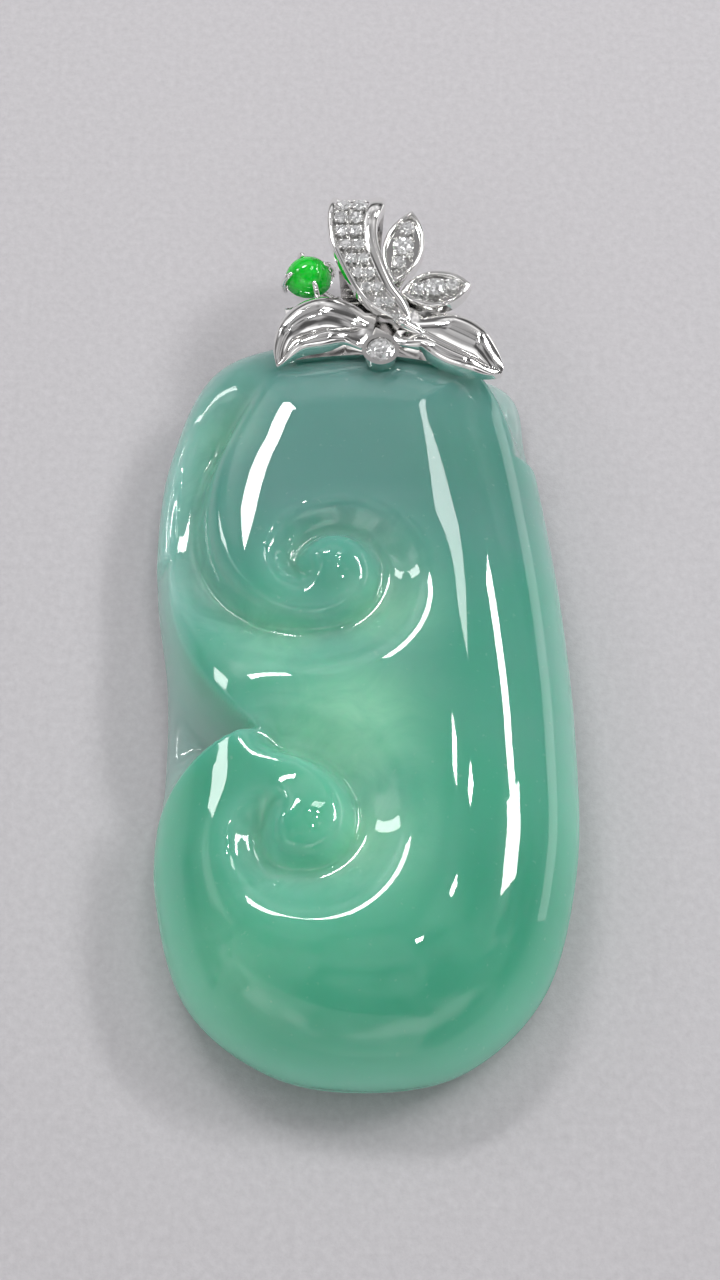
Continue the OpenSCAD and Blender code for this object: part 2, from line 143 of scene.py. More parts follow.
def line_radius(line, angle):
    past = np.maximum(0, angle - line["hold"])
    return line["eye"] + (line["reach"] - line["eye"]) * np.exp(-angle / line["decay"]) - line["tighten"] * past


# Angles over which a line fades in and out, and over which its gentle side narrows to half.
FADE_IN, FADE_OUT = 25, 80
NARROW_FROM, NARROW_OVER = 200, 160

# Angles over which the first turn's outer depth gives way to the line's own.
LEDGE_FROM, LEDGE_OVER = 60, 90


def line_cut(line, angle, r, depth):
    """Depth of a carved line at a radius and an unrolled angle."""
    gap = r - line_radius(line, angle)
    fade = ease(angle / FADE_IN) * ease((line["end"] - angle) / FADE_OUT)
    gentle = line_gentle * (1 - 0.5 * ease((angle - NARROW_FROM) / NARROW_OVER))
    width = np.where(gap > 0, gentle, line_steep)
    return np.where(angle > line["end"], 0, depth * fade * np.exp(-(gap / width) ** 2))


def scroll_cut(line, p, outer_depth):
    """Depth of a scroll's cut over its two turns, and the rise of its eye."""
    q = p - np.array(line["centre"])
    r = np.linalg.norm(q, axis=-1)
    angle = (line["turn"] * (np.degrees(np.arctan2(q[..., 1], q[..., 0])) - line["start"])) % 360
    depth = outer_depth + (line_depth - outer_depth) * ease((angle - LEDGE_FROM) / LEDGE_OVER)
    cut = np.maximum(line_cut(line, angle, r, depth), line_cut(line, angle + 360, r, line_depth))
    return cut, eye_rise * (1 - ease(r / line["eye"]))


def outside(disc, p):
    """Distance of each point beyond a disc."""
    return np.linalg.norm(p - np.array(disc[0]), axis=-1) - disc[1]


# Flange: it lies left of this x and between these y, and a cove of this width and steepness leads down to it.
FLANGE_X = lower_lobe[0][0] - 0.4
FLANGE_LOW_Y, FLANGE_HIGH_Y = -11.5, 9
COVE_WIDTH = 2.8
COVE_STEEPNESS = 2.2
COVE_EDGE = 0.1

# Tip at the upper right: it lies right of this x, and its step starts this far inside the body.
TIP_X = 6
TIP_START = 0.2
TIP_STEP = 1.5


def thin_share(p):
    """1 on the clear flange and the tip, 0 on the body."""
    x, y = p[..., 0], p[..., 1]
    notch = np.minimum.reduce([outside(upper_lobe, p), outside(lower_lobe, p), FLANGE_X - x, y - FLANGE_LOW_Y,
                               FLANGE_HIGH_Y - y])
    corner = np.minimum.reduce([outside(shoulder, p), x - TIP_X, y - shoulder[0][1]])
    lip = ease((notch + COVE_EDGE) / (3 * COVE_EDGE))
    cove = (1 - (1 - np.clip(notch / COVE_WIDTH, 0, 1)) ** COVE_STEEPNESS) * lip
    return np.maximum(cove, ease((corner + TIP_START) / TIP_STEP))


# Run over which the scrolls' cut fades out at the rim, and the run of the flange's rounded rim.
CUT_FADE = 1.5
FLANGE_ROUND = 1.2


def face_of_stone(p, d):
    """Height of the carved face, with the thin and groove shares."""
    upper, upper_eye = scroll_cut(upper_line, p, ledge_depth)
    lower, lower_eye = scroll_cut(lower_line, p, line_depth)
    inner = ease(d / CUT_FADE)
    body = girdle_h + (stone_t - girdle_h) * quarter_round(d / dome_run)
    body = body - (upper - upper_eye + lower - lower_eye) * inner
    flange = flange_t * (0.5 + 0.5 * quarter_round(d / FLANGE_ROUND))
    thin = thin_share(p)
    groove = np.maximum(upper, lower) / line_depth * inner
    return body + (flange - body) * thin, thin, groove


def back_of_stone(p, d):
    """Height of the flat back with its rounded rim, and the thin share."""
    thin = thin_share(p)
    girdle = girdle_h + (flange_t / 2 - girdle_h) * thin
    return girdle * (1 - quarter_round(d / back_round)), thin


def mesh_piece(name, points, faces, material, smooth=True, node=None, slot=None):
    """A piece from points in millimetres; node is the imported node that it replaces."""
    mesh = bpy.data.meshes.new(name)
    mesh.from_pydata([tuple(float(c) * MM for c in p) for p in points], [],
                     [tuple(int(i) for i in f) for f in faces])
    mesh.validate()
    mesh.materials.append(material)
    mesh.polygons.foreach_set("use_smooth", [smooth] * len(mesh.polygons))
    mesh.update()
    piece = bpy.data.objects.new(name, mesh)
    bpy.context.collection.objects.link(piece)
    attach(piece, "root")
    if node:
        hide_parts(node)
    return piece


def ring_faces(rings, size):
    """Four-sided faces between rings of equal size."""
    faces = []
    for k in range(rings - 1):
        for j in range(size):
            a, b = k * size + j, k * size + (j + 1) % size
            faces.append((a, b, b + size, a + size))
    return faces


def end_fans(size, last, first_point):
    """Triangles from the two points at first_point to the first ring and to the ring at last."""
    fans = [(first_point, (j + 1) % size, j) for j in range(size)]
    return fans + [(first_point + 1, last + j, last + (j + 1) % size) for j in range(size)]


def cos_spaced(count):
    """Shares from 0 to 1, closer together near both ends."""
    return 0.5 - 0.5 * np.cos(np.linspace(0, math.pi, count))


# Places inside the stone painted paler, as painted glow of light through it: centre, spread, strength.
PAINTED_GLOW_SPOTS = [((-0.4, -4.8), 4.0, 1.0), ((1.8, 3.0), 2.8, 0.75), ((0.8, -12.6), 3.0, 0.75), ((-5.6, 0.8), 3.0, 0.5),
              ((-9.5, 17.5), 3.0, 0.35), ((-9.0, -21.5), 4.5, 0.3)]

# Places where the stone is painted darker, as painted shade, in the same form.
PAINTED_SHADE_SPOTS = [((9.5, -16.5), 5.0, 0.55), ((-7.5, -15.5), 3.2, 0.35), ((8.0, 14.5), 5.0, 0.35),
               ((4.5, -21.0), 4.0, 0.3)]

# Points across the stone on its face and on its back.
FACE_STEPS = 190
BACK_STEPS = 60


def spots_field(p, spots):
    """The strongest of a list of soft round spots at each point."""
    return np.maximum.reduce([strength * np.exp(-(np.linalg.norm(p - np.array(centre), axis=-1) / spread) ** 2)
                              for centre, spread, strength in spots])


def carve_stone(material):
    """The stone's skin, with point attributes that its material reads."""
    face_share = cos_spaced(FACE_STEPS)
    back_share = cos_spaced(BACK_STEPS)[::-1][1:-1]
    shares = np.concatenate([face_share, back_share])
    left, right = left_rim[1:-1, None, :], right_rim[1:-1, None, :]
    p = left + (right - left) * shares[None, :, None]
    d = rim_gap(p)
    d[:, 0] = 0
    d[:, len(face_share) - 1] = 0
    z, thin, groove = face_of_stone(p, d)
    back, back_thin = back_of_stone(p, d)
    on_back = np.arange(len(shares)) >= len(face_share)
    z = np.where(on_back, back, z)
    rings, size = z.shape
    points = np.concatenate([p, z[..., None]], -1).reshape(-1, 3)
    ends = np.array([[*left_rim[0], girdle_h], [*left_rim[-1], girdle_h]])
    points = np.vstack([points, ends])
    faces = ring_faces(rings, size) + end_fans(size, (rings - 1) * size, rings * size)
    piece = mesh_piece("jade_carving", points, faces, material, node="jade_stone", slot="jade")
    # Painted glow in spots, for the jade's colour.
    fields = {"painted_glow": np.where(on_back, 0, spots_field(p, PAINTED_GLOW_SPOTS)),
              # Painted shade in spots, for the jade's colour.
              "painted_shade": spots_field(p, PAINTED_SHADE_SPOTS),
              "thin": np.where(on_back, back_thin, thin),
              "groove": np.where(on_back, 0, groove),
              "inward": d / dome_run}
    for field, values in fields.items():
        attribute = piece.data.attributes.new(field, "FLOAT", "POINT")
        attribute.data.foreach_set("value", np.append(values.reshape(-1), (0, 0)).astype(np.float32))


# Materials


class Graph:
    """Short names for building the node tree of a material or a world."""

    def __init__(self, owner, output="ShaderNodeOutputMaterial"):
        self.owner = owner
        owner.use_nodes = True
        self.tree = owner.node_tree
        self.tree.nodes.clear()
        self.out = self.add(output)

    def add(self, kind, **values):
        node = self.tree.nodes.new(kind)
        for key, value in values.items():
            setattr(node, key, value)
        return node

    def put(self, socket, value):
        if isinstance(value, bpy.types.NodeSocket):
            self.tree.links.new(value, socket)
        elif hasattr(socket.default_value, "__len__") and len(socket.default_value) == 4 and len(value) == 3:
            socket.default_value = (*value, 1)
        else:
            socket.default_value = value

    def node(self, kind, inputs, output=0, **values):
        node = self.add(kind, **values)
        for key, value in inputs.items():
            self.put(node.inputs[key], value)
        return node.outputs[output]

    def where(self, space="Object"):
        return self.add("ShaderNodeTexCoord").outputs[space]

    def noise(self, scale, detail=3, roughness=0.5, distortion=0.0, space="Object"):
        return self.node("ShaderNodeTexNoise", {"Vector": self.where(space), "Scale": scale, "Detail": detail,
                                                "Roughness": roughness, "Distortion": distortion})

    def principled(self, **inputs):
        """A Principled shader; an underscore in a name stands for a space."""
        return self.node("ShaderNodeBsdfPrincipled", {name.replace("_", " "): v for name, v in inputs.items()})

    def field(self, name):
        return self.add("ShaderNodeAttribute", attribute_name=name).outputs["Fac"]

    def math(self, kind, a, b=0.0, clamp=False):
        node = self.add("ShaderNodeMath", operation=kind, use_clamp=clamp)
        self.put(node.inputs[0], a)
        self.put(node.inputs[1], b)
        return node.outputs[0]

    def remap(self, value, low, high, to_low=0.0, to_high=1.0):
        return self.node("ShaderNodeMapRange", {"Value": value, "From Min": low, "From Max": high,
                                                "To Min": to_low, "To Max": to_high})

    def mix_colour(self, share, a, b):
        node = self.add("ShaderNodeMix", data_type="RGBA")
        self.put(node.inputs[0], share)
        self.put(node.inputs[6], a)
        self.put(node.inputs[7], b)
        return node.outputs[2]

    def mix_shader(self, share, a, b):
        return self.node("ShaderNodeMixShader", {0: share, 1: a, 2: b})

    def bump(self, height, strength, distance):
        return self.node("ShaderNodeBump", {"Height": height, "Strength": strength, "Distance": distance * MM})

    def finish(self, surface):
        self.put(self.out.inputs["Surface"], surface)
        return self.owner


def material_graph(name):
    return Graph(bpy.data.materials.new(name))


# Jade colours. Each pair runs from the stone's lower end to its upper one; the lower end's brighter, greener tone is
# partly painted light passing through the stone, away from the lamps, and partly the stone's own tone.
JADE_DEEP = (0.088, 0.49, 0.31), (0.125, 0.395, 0.345)
# The clouds' own lighter tone, which is also the painted glow at the rim.
JADE_MINT_AND_RIM_GLOW = (0.24, 0.67, 0.49), (0.385, 0.585, 0.55)
# Colour of the painted shade in spots.
JADE_PAINTED_SHADE = (0.045, 0.34, 0.215)
# Colour of the painted glow along the carved lines.
JADE_PAINTED_GROOVE_GLOW = (0.46, 0.92, 0.76)
# Colour of the painted glow in spots.
JADE_PAINTED_GLOW = (0.40, 0.86, 0.60)
JADE_SPECK = (0.62, 0.82, 0.72)
JADE_FROST = (0.52, 0.77, 0.70)
JADE_CLEAR_BODY = (0.55, 0.88, 0.76)
JADE_CLEAR_THIN = (0.93, 0.98, 0.96)

# Places along the stone where the lower colours end and the upper ones begin, and how far clouds shift them.
JADE_LOW_Y, JADE_HIGH_Y, JADE_DRIFT = -14, 16, 6


def jade_material():
    """A scattering body with clouds, wisps and specks, painted glow and painted shade in its colour, frost where it
    is thin, and clear glass mixed into both.
    """
    g = material_graph("jade")
    cloud = g.noise(75, detail=3, roughness=0.5, distortion=0.5)
    wisps = g.noise(300, detail=5, roughness=0.6, distortion=1.2)
    specks = g.noise(2200, detail=2, roughness=0.5)
    thin = g.field("thin")
    place = g.node("ShaderNodeSeparateXYZ", {0: g.where()}, output=1)
    drift = g.remap(cloud, 0.3, 0.7, -JADE_DRIFT * MM, JADE_DRIFT * MM)
    lengthwise = g.remap(g.math("ADD", place, drift), JADE_LOW_Y * MM, JADE_HIGH_Y * MM)
    # Brighter and greener towards the lower end: partly painted light passing through the stone, partly its own tone.
    deep = g.mix_colour(lengthwise, *JADE_DEEP)
    mint = g.mix_colour(lengthwise, *JADE_MINT_AND_RIM_GLOW)
    # Painted glow: the rim paler, standing in for light shining back through the stone's edge; the clouds' share is
    # the stone's own tone.
    rim_share = g.remap(g.field("inward"), 0.27, 0.0)
    cloud_share = g.remap(cloud, 0.3, 0.75, 0.0, 0.3)
    share = g.math("ADD", g.math("MULTIPLY", rim_share, 0.85), cloud_share, clamp=True)
    colour = g.mix_colour(share, deep, mint)
    # Painted shade: darker patches on the body.
    colour = g.mix_colour(g.field("painted_shade"), colour, JADE_PAINTED_SHADE)
    # Painted glow: the carved lines paler, standing in for light glowing through the thinner stone in them.
    groove = g.math("POWER", g.field("groove"), 0.6)
    painted_groove_glow = g.math("MULTIPLY", groove, g.remap(wisps, 0.3, 0.7, 0.28, 0.55), clamp=True)
    colour = g.mix_colour(painted_groove_glow, colour, JADE_PAINTED_GROOVE_GLOW)
    # Painted glow: paler spots where light seems to shine through the stone.
    painted_glow = g.math("MULTIPLY", g.field("painted_glow"), g.remap(wisps, 0.3, 0.7, 0.6, 1.0), clamp=True)
    colour = g.mix_colour(painted_glow, colour, JADE_PAINTED_GLOW)
    colour = g.mix_colour(g.remap(specks, 0.68, 0.8, 0.0, 0.18), colour, JADE_SPECK)
    body = g.principled(Base_Color=colour, Roughness=0.02, IOR=1.66, Subsurface_Weight=1.0,
                        Subsurface_Radius=(0.7, 1.1, 0.95), Subsurface_Scale=6.5 * MM)
    frost = g.principled(Base_Color=JADE_FROST, Roughness=0.03, IOR=1.6, Subsurface_Weight=1.0,
                         Subsurface_Radius=(1.0, 1.3, 1.2), Subsurface_Scale=4.0 * MM)
    clear = g.principled(Base_Color=g.mix_colour(thin, JADE_CLEAR_BODY, JADE_CLEAR_THIN), Roughness=0.03, IOR=1.5,
                         Transmission_Weight=1.0)
    see_through = g.math("MULTIPLY", g.remap(rim_share, 0, 1, 1, 0.3), g.remap(lengthwise, 0, 1, 0.14, 0.27))
    clear_share = g.math("MAXIMUM", g.math("MULTIPLY", thin, 0.36), see_through)
    core = g.mix_shader(thin, body, frost)
    return g.finish(g.mix_shader(clear_share, core, clear))


METAL_ROUGHNESS = 0.06


def metal_material(name):
    """Polished white metal with a faint tone and fine scratches."""
    g = material_graph(name)
    tone = g.noise(900, detail=2)
    colour = g.mix_colour(g.remap(tone, 0.3, 0.7), (0.86, 0.86, 0.85), (0.93, 0.92, 0.90))
    scratches = g.noise(5200, detail=3, roughness=0.7)
    roughness = g.remap(scratches, 0.3, 0.7, METAL_ROUGHNESS * 0.7, METAL_ROUGHNESS * 1.5)
    return g.finish(g.principled(Base_Color=colour, Metallic=1.0, Roughness=roughness,
                                 Normal=g.bump(scratches, 0.04, 0.02)))


# Diamonds: the shares of white fire and, in the rest, of mirror flashes, whose cells are about 0.2 mm wide.
FIRE_SHARE = 0.28
FLASH_SHARE = 0.7
FLASH_SCALE = 5200.0


def diamond_material():
    """Clear glass with small tilted mirrors in it, which flash as the inner facets do."""
    g = material_graph("clear_stones")
    tint = g.mix_colour(g.remap(g.noise(700), 0.3, 0.7), (0.95, 0.98, 0.96), (1.0, 1.0, 1.0))
    glass = g.principled(Base_Color=tint, Roughness=0.0, IOR=2.417, Transmission_Weight=1.0)
    cells = g.node("ShaderNodeTexVoronoi", {"Vector": g.where(), "Scale": FLASH_SCALE}, output=1)
    tilt = g.node("ShaderNodeVectorMath", {0: cells, 1: (0.5, 0.5, 0.5)}, operation="SUBTRACT")
    normal = g.add("ShaderNodeNewGeometry").outputs["Normal"]
    leaning = g.node("ShaderNodeVectorMath", {0: normal, 1: tilt}, operation="ADD")
    inner = g.node("ShaderNodeVectorMath", {0: leaning}, operation="NORMALIZE")
    flash = g.principled(Base_Color=tint, Roughness=0.03, Metallic=1.0, Normal=inner)
    fire = g.principled(Base_Color=(0.97, 0.98, 0.98), Roughness=0.02, IOR=2.417)
    return g.finish(g.mix_shader(FIRE_SHARE, g.mix_shader(FLASH_SHARE, glass, flash), fire))


def cabochon_material():
    """Bright green jade with a cloud in it."""
    g = material_graph("green_cabochon")
    cloud = g.noise(500, detail=3, roughness=0.5, distortion=0.4)
    colour = g.mix_colour(g.remap(cloud, 0.3, 0.75), (0.0, 0.50, 0.02), (0.005, 0.82, 0.05))
    return g.finish(g.principled(Base_Color=colour, Roughness=0.02, IOR=1.66, Subsurface_Weight=1.0,
                                 Subsurface_Radius=(0.3, 1.2, 0.4), Subsurface_Scale=1.6 * MM))


def cement_material():
    g = material_graph("cement")
    tone = g.mix_colour(g.noise(1500), (0.72, 0.71, 0.65), (0.80, 0.79, 0.73))
    return g.finish(g.principled(Base_Color=tone, Roughness=0.55))


# The felt gives way to this colour between these distances from the object.
BACKDROP = (0.50, 0.49, 0.505)
FELT_END, BACKDROP_START = 70, 420


def floor_material():
    """Pale felt under the object that runs out into an even backdrop for camera, mirror and glass rays."""
    g = material_graph("pale_floor")
    fibres = g.noise(1800, detail=6, roughness=0.7)
    colour = g.mix_colour(g.remap(fibres, 0.25, 0.8), (0.52, 0.505, 0.525), (0.64, 0.625, 0.645))
    felt = g.principled(Base_Color=colour, Roughness=0.9, Normal=g.bump(fibres, 0.3, 0.15))
    far = g.node("ShaderNodeVectorMath", {0: g.where()}, output=1, operation="LENGTH")
    share = g.node("ShaderNodeMapRange", {"Value": far, "From Min": FELT_END * MM, "From Max": BACKDROP_START * MM},
                   interpolation_type="SMOOTHSTEP")
    ray = g.add("ShaderNodeLightPath").outputs
    camera_or_glossy = g.math("ADD", ray["Is Camera Ray"], ray["Is Glossy Ray"])
    seen = g.math("MULTIPLY", share, g.math("ADD", camera_or_glossy, ray["Is Transmission Ray"], clamp=True))
    backdrop = g.node("ShaderNodeEmission", {"Color": BACKDROP, "Strength": 1.0})
    return g.finish(g.mix_shader(seen, felt, backdrop))


jade = jade_material()
gold = metal_material("white_gold")
diamond = diamond_material()
green = cabochon_material()
cement = cement_material()

carve_stone(jade)
kept_nodes = {"green_cabochon": green, "pin_cement": cement, "cap": gold, "cap_pins": gold, "collar": gold,
              "cabochon_cup": gold, "berry_wires": gold}
for name, material in kept_nodes.items():
    nodes[name].data.materials.clear()
    nodes[name].data.materials.append(material)

BEVEL_STEPS = 3


def shade_smooth(node, angle, bevel=0.0):
    """Round edges sharper than angle by bevel and smooth the others' shading, with modifiers alone."""
    if bevel:
        edge = node.modifiers.new("edge_round", "BEVEL")
        edge.width = bevel * MM
        edge.segments = BEVEL_STEPS
        edge.limit_method = "ANGLE"
        edge.angle_limit = math.radians(angle)
        edge.use_clamp_overlap = True
    group_name = "smooth_" + str(angle)
    group = bpy.data.node_groups.get(group_name)
    if group is None:
        group = bpy.data.node_groups.new(group_name, "GeometryNodeTree")
        group.interface.new_socket("Geometry", in_out="INPUT", socket_type="NodeSocketGeometry")
        group.interface.new_socket("Geometry", in_out="OUTPUT", socket_type="NodeSocketGeometry")
        start = group.nodes.new("NodeGroupInput")
        end = group.nodes.new("NodeGroupOutput")
        faces = group.nodes.new("GeometryNodeSetShadeSmooth")
        edges = group.nodes.new("GeometryNodeSetShadeSmooth")
        edges.domain = "EDGE"
        edge_angle = group.nodes.new("GeometryNodeInputMeshEdgeAngle")
        shallow = group.nodes.new("FunctionNodeCompare")
        shallow.operation = "LESS_THAN"
        shallow.inputs["B"].default_value = math.radians(angle)
        group.links.new(edge_angle.outputs["Unsigned Angle"], shallow.inputs["A"])
        group.links.new(start.outputs[0], faces.inputs["Geometry"])
        group.links.new(faces.outputs[0], edges.inputs["Geometry"])
        group.links.new(shallow.outputs[0], edges.inputs["Shade Smooth"])
        group.links.new(edges.outputs[0], end.inputs[0])
    node.modifiers.new("smooth_shading", "NODES").node_group = group


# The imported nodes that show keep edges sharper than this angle; beside each is its edges' rounding.
KEPT_EDGE_ANGLE = 30
kept_rounding = {"cap": 0.12, "collar": 0.06, "cabochon_cup": 0.05, "berry_wires": 0, "green_cabochon": 0}
for name, rounding in kept_rounding.items():
    shade_smooth(nodes[name], KEPT_EDGE_ANGLE, rounding)

# Leaves: two rounded lobes with a sharp sunk midrib, whose depth is the share of the rise left at it.
leaf_t = 0.5
leaf_rise = 0.8
upper_lobe_w = 2.7
lower_lobe_w = 1.6
tip_drop = 0.35
MIDRIB_SHARE = 0.1
LOBE_ROUND = 0.4
VALLEY_REACH, VALLEY_POWER = 0.5, 0.8
RISE_AT_ROOT, RISE_AT_TIP = 2.4, 3
LEAF_EDGE_ANGLE = 62
LEAF_STEPS = 72
LOBE_STEPS = 16


def quadratic(points, s):
    """Point at s on the curve from the first point to the last that bends towards the middle one."""
    a, b, c = (np.array(p, float) for p in points)
    return a * (1 - s) ** 2 + b * 2 * s * (1 - s) + c * s * s


def lobe_height(q):
    """Share of a lobe's rise from the midrib at 0 to its edge at 1."""
    shoulder_part = quarter_round((1 - q) / LOBE_ROUND)
    climb = math.sin(math.pi / 2 * min(1, q / VALLEY_REACH)) ** VALLEY_POWER
    return float(shoulder_part) * (MIDRIB_SHARE + (1 - MIDRIB_SHARE) * climb)


def leaf_ring(rib, s, shape):
    """Section of a leaf at s along its rib. shape is [place of the widest part, width of the upper lobe at the
    root, the same of the lower lobe, sharpness]."""
    p = quadratic(rib, s)
    t = quadratic(rib, s + 0.01) - quadratic(rib, s - 0.01)
    n = np.array([-t[1], t[0]]) / np.linalg.norm(t) * np.sign(t[0])
    swell = math.sin(math.pi * s ** shape[0]) ** shape[3]
    up = n * upper_lobe_w * max(shape[1] * (1 - s), swell)
    down = n * lower_lobe_w * max(shape[2] * (1 - s), swell)
    rise = leaf_rise * float(ease(s * RISE_AT_ROOT) * ease((1 - s) * RISE_AT_TIP))
    base = cap_top_z - tip_drop * s ** 4
    shares = [1 - k / LOBE_STEPS for k in range(LOBE_STEPS)]
    ring = [(*(p - down), base)]
    ring += [(*(p - down * q), base + leaf_t + rise * lobe_height(q)) for q in shares]
    ring += [(*p, base + leaf_t + rise * MIDRIB_SHARE)]
    ring += [(*(p + up * q), base + leaf_t + rise * lobe_height(q)) for q in reversed(shares)]
    ring += [(*(p + up), base)]
    return ring


def flat_caps(size, last):
    """Two faces that close the first ring and the ring at last."""
    return [tuple(range(size - 1, -1, -1)), tuple(range(last, last + size))]


def loft(name, rings, node, ends=None):
    """A closed metal skin over equal rings; ends are two points, or flat caps when left out."""
    size = len(rings[0])
    points = [p for ring in rings for p in ring]
    faces = ring_faces(len(rings), size)
    last = (len(rings) - 1) * size
    if ends is not None:
        faces += end_fans(size, last, len(points))
        points += ends
    else:
        faces += flat_caps(size, last)
    return mesh_piece(name, points, faces, gold, True, node, "white_gold")


def make_leaf(name, rib, shape, node):
    rings = [leaf_ring(rib, (i + 0.5) / LEAF_STEPS, shape) for i in range(LEAF_STEPS)]
    if rib[2][0] > rib[0][0]:
        rings = [ring[::-1] for ring in rings]
    root_z = cap_top_z + leaf_t / 2
    piece = loft(name, rings, node, [(*rib[0], root_z), (*rib[2], root_z - tip_drop)])
    shade_smooth(piece, LEAF_EDGE_ANGLE)


left_rib = [(0.036 * stone_w, top_y - 2.4), (-0.143 * stone_w, top_y - 1.7), (-0.2 * stone_w, top_y - 5.3)]
right_rib = [(0.1 * stone_w, top_y - 2), (0.221 * stone_w, top_y - 4.1), (0.346 * stone_w, top_y - 5.75)]
make_leaf("leaf_left", left_rib, (0.76, 0.5, 1.12, 0.9), "left_leaf")
make_leaf("leaf_right", right_rib, (1.08, 0.55, 1.05, 0.7), "right_leaf")

# Bail: one band from its lower tip over the bend to the rear of the cap, with the source's sizes. The rows are the
# source's: the distance beyond the stone's end as a share of the reach, the outer face's height as a share of the
# front's height, and the left and right edges as shares of the width.
band_w = 3.9
band_t = 0.9
band_front_z = 10.2
band_reach = 9.6
channel_depth = 0.35
left_rim_w = 0.5
right_rim_share = 0.3
wall_out = 0.72

# Rows between which the channel is sunk for the stones.
set_from = 0.7
set_to = 5.8
band_controls = [
    (-0.26, 0.955, 0.66, 0.82), (-0.2, 0.96, 0.46, 0.89), (-0.094, 0.97, 0.09, 0.82), (0.062, 0.985, -0.17, 0.59),
    (0.365, 1, -0.49, 0.35), (0.594, 1, -0.59, 0.32), (0.79, 0.975, -0.55, 0.45), (0.963, 0.81, -0.49, 0.45),
    (1, 0.53, -0.45, 0.42), (0.875, 0.216, -0.41, 0.38), (0.625, 0.078, -0.36, 0.37), (0.333, 0.098, -0.31, 0.38),
    ((wall_out + 0.03) / band_reach, 0.21, -0.26, 0.41)]
last_span = len(band_controls) - 1
band_rows = np.array(with_ends([np.array(row) for row in band_controls]))
BAND_STEPS = 14
BAND_EDGE_ANGLE = 50

# The band's rims: steps across each, how far their edges drop at most, and the gap that keeps the floor clear.
LEFT_RIM_STEPS, RIGHT_RIM_STEPS = 8, 12
LEFT_RIM_BULGE, RIGHT_RIM_BULGE = 0.18, 0.16
FLOOR_GAP = 0.03

# The channel's floor goes down over this many rows at each end, starting this far outside set_from and set_to.
SINK_OVER = 0.2
SINK_BEFORE, SINK_AFTER = 0.35, 0.5


def band_at(u):
    """Distance beyond the stone's end, height, left edge and right edge of the band at row u."""
    return catmull(band_rows, min(max(u, 0), last_span)) * (band_reach, band_front_z, band_w, band_w)


def band_tangent(u):
    """Direction of the band at row u, in the plane seen from the side."""
    a, b = band_at(u - 0.02)[:2], band_at(u + 0.02)[:2]
    return (b - a) / np.linalg.norm(b - a)


def band_point(u, x, depth):
    """Point at x across the band and a depth under its outer face."""
    c, t = band_at(u), band_tangent(u)
    return x, top_y + c[0] + t[1] * depth, c[1] - t[0] * depth


def channel(u):
    """Left and right edge of the channel."""
    c = band_at(u)
    w = c[3] - c[2]
    return c[2] + min(left_rim_w, w / 4), c[3] - w * right_rim_share


def arc_profile(x0, x1, steps, bulge):
    """Points across a rounded strip between x0 and x1; bulge is how far its edges drop."""
    shares = [k / steps for k in range(steps + 1)]
    return [(x0 + (x1 - x0) * s, bulge * (1 - math.sqrt(max(0, 1 - (2 * s - 1) ** 2)))) for s in shares]


def band_ring(u):
    """Section of the band at row u: left rim, channel floor, right rim and flat back."""
    c, g = band_at(u), channel(u)
    w = c[3] - c[2]
    down = ease((u - set_from + SINK_BEFORE) / SINK_OVER) * ease((set_to + SINK_AFTER - u) / SINK_OVER)
    sunk = channel_depth * float(down)
    left_bulge, right_bulge = min(LEFT_RIM_BULGE, w / 8), min(RIGHT_RIM_BULGE, w / 8)
    profile = [(c[2], band_t)]
    profile += arc_profile(c[2], g[0], LEFT_RIM_STEPS, left_bulge)
    profile += [(g[0] + FLOOR_GAP, max(sunk, left_bulge)), (g[1] - FLOOR_GAP, max(sunk, right_bulge))]
    profile += arc_profile(g[1], c[3], RIGHT_RIM_STEPS, right_bulge)
    profile += [(c[3], band_t)]
    return [band_point(u, x, depth) for x, depth in profile]


band_rings = [band_ring(i / BAND_STEPS) for i in range(last_span * BAND_STEPS + 1)]
shade_smooth(loft("bail_band", band_rings, "bail"), BAND_EDGE_ANGLE)


# Cut stones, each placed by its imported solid.


def islands(node):
    """Vertex groups of a node's separate solids."""
    mesh = node.data
    parent = list(range(len(mesh.vertices)))

    def find(i):
        while parent[i] != i:
            parent[i] = parent[parent[i]]
            i = parent[i]
        return i

    seen = {}
    for v in mesh.vertices:
        key = tuple(round(c / MM, 3) for c in v.co)
        if key in seen:
            parent[find(v.index)] = find(seen[key])
        seen[key] = v.index
    for edge in mesh.edges:
        parent[find(edge.vertices[0])] = find(edge.vertices[1])
    groups = {}
    for polygon in mesh.polygons:
        groups.setdefault(find(polygon.vertices[0]), []).append(polygon.index)
    return [groups[key] for key in sorted(groups)]


def stone_seats(name):
    """Foot, axis, radius and height of each stone; the larger flat end is its table."""
    node = nodes[name]
    mesh = node.data
    seats = []
    for polygons in islands(node):
        areas = {}
        for i in polygons:
            polygon = mesh.polygons[i]
            key = tuple(round(c, 2) for c in polygon.normal)
            area, normal = areas.get(key, (0.0, polygon.normal.copy()))
            areas[key] = (area + polygon.area, normal)
        axis = max(areas.values(), key=lambda pair: pair[0])[1].normalized()
        points = [mesh.vertices[v].co / MM for i in polygons for v in mesh.polygons[i].vertices]
        heights = [p.dot(axis) for p in points]
        low, high = min(heights), max(heights)
        ends = [p for p, h in zip(points, heights) if h > high - 0.01]
        middle = sum(ends, Vector()) / len(ends)
        centre = middle - axis * (high - low)
        radius = max(((p - middle) - axis * (p - middle).dot(axis)).length for p in points)
        seats.append((centre, axis, radius, high - low))
    return seats


# Layers of a brilliant cut, culet first: radius and height as shares, number of points, turn as a share of a step.
BRILLIANT_LAYERS = [(0.0, 0.02, 1, 0), (0.42, 0.29, 8, 0.5), (0.98, 0.54, 16, 0), (1.0, 0.56, 16, 0),
                    (1.0, 0.62, 16, 0), (0.8, 0.84, 8, 0.5), (0.56, 1.0, 8, 0)]


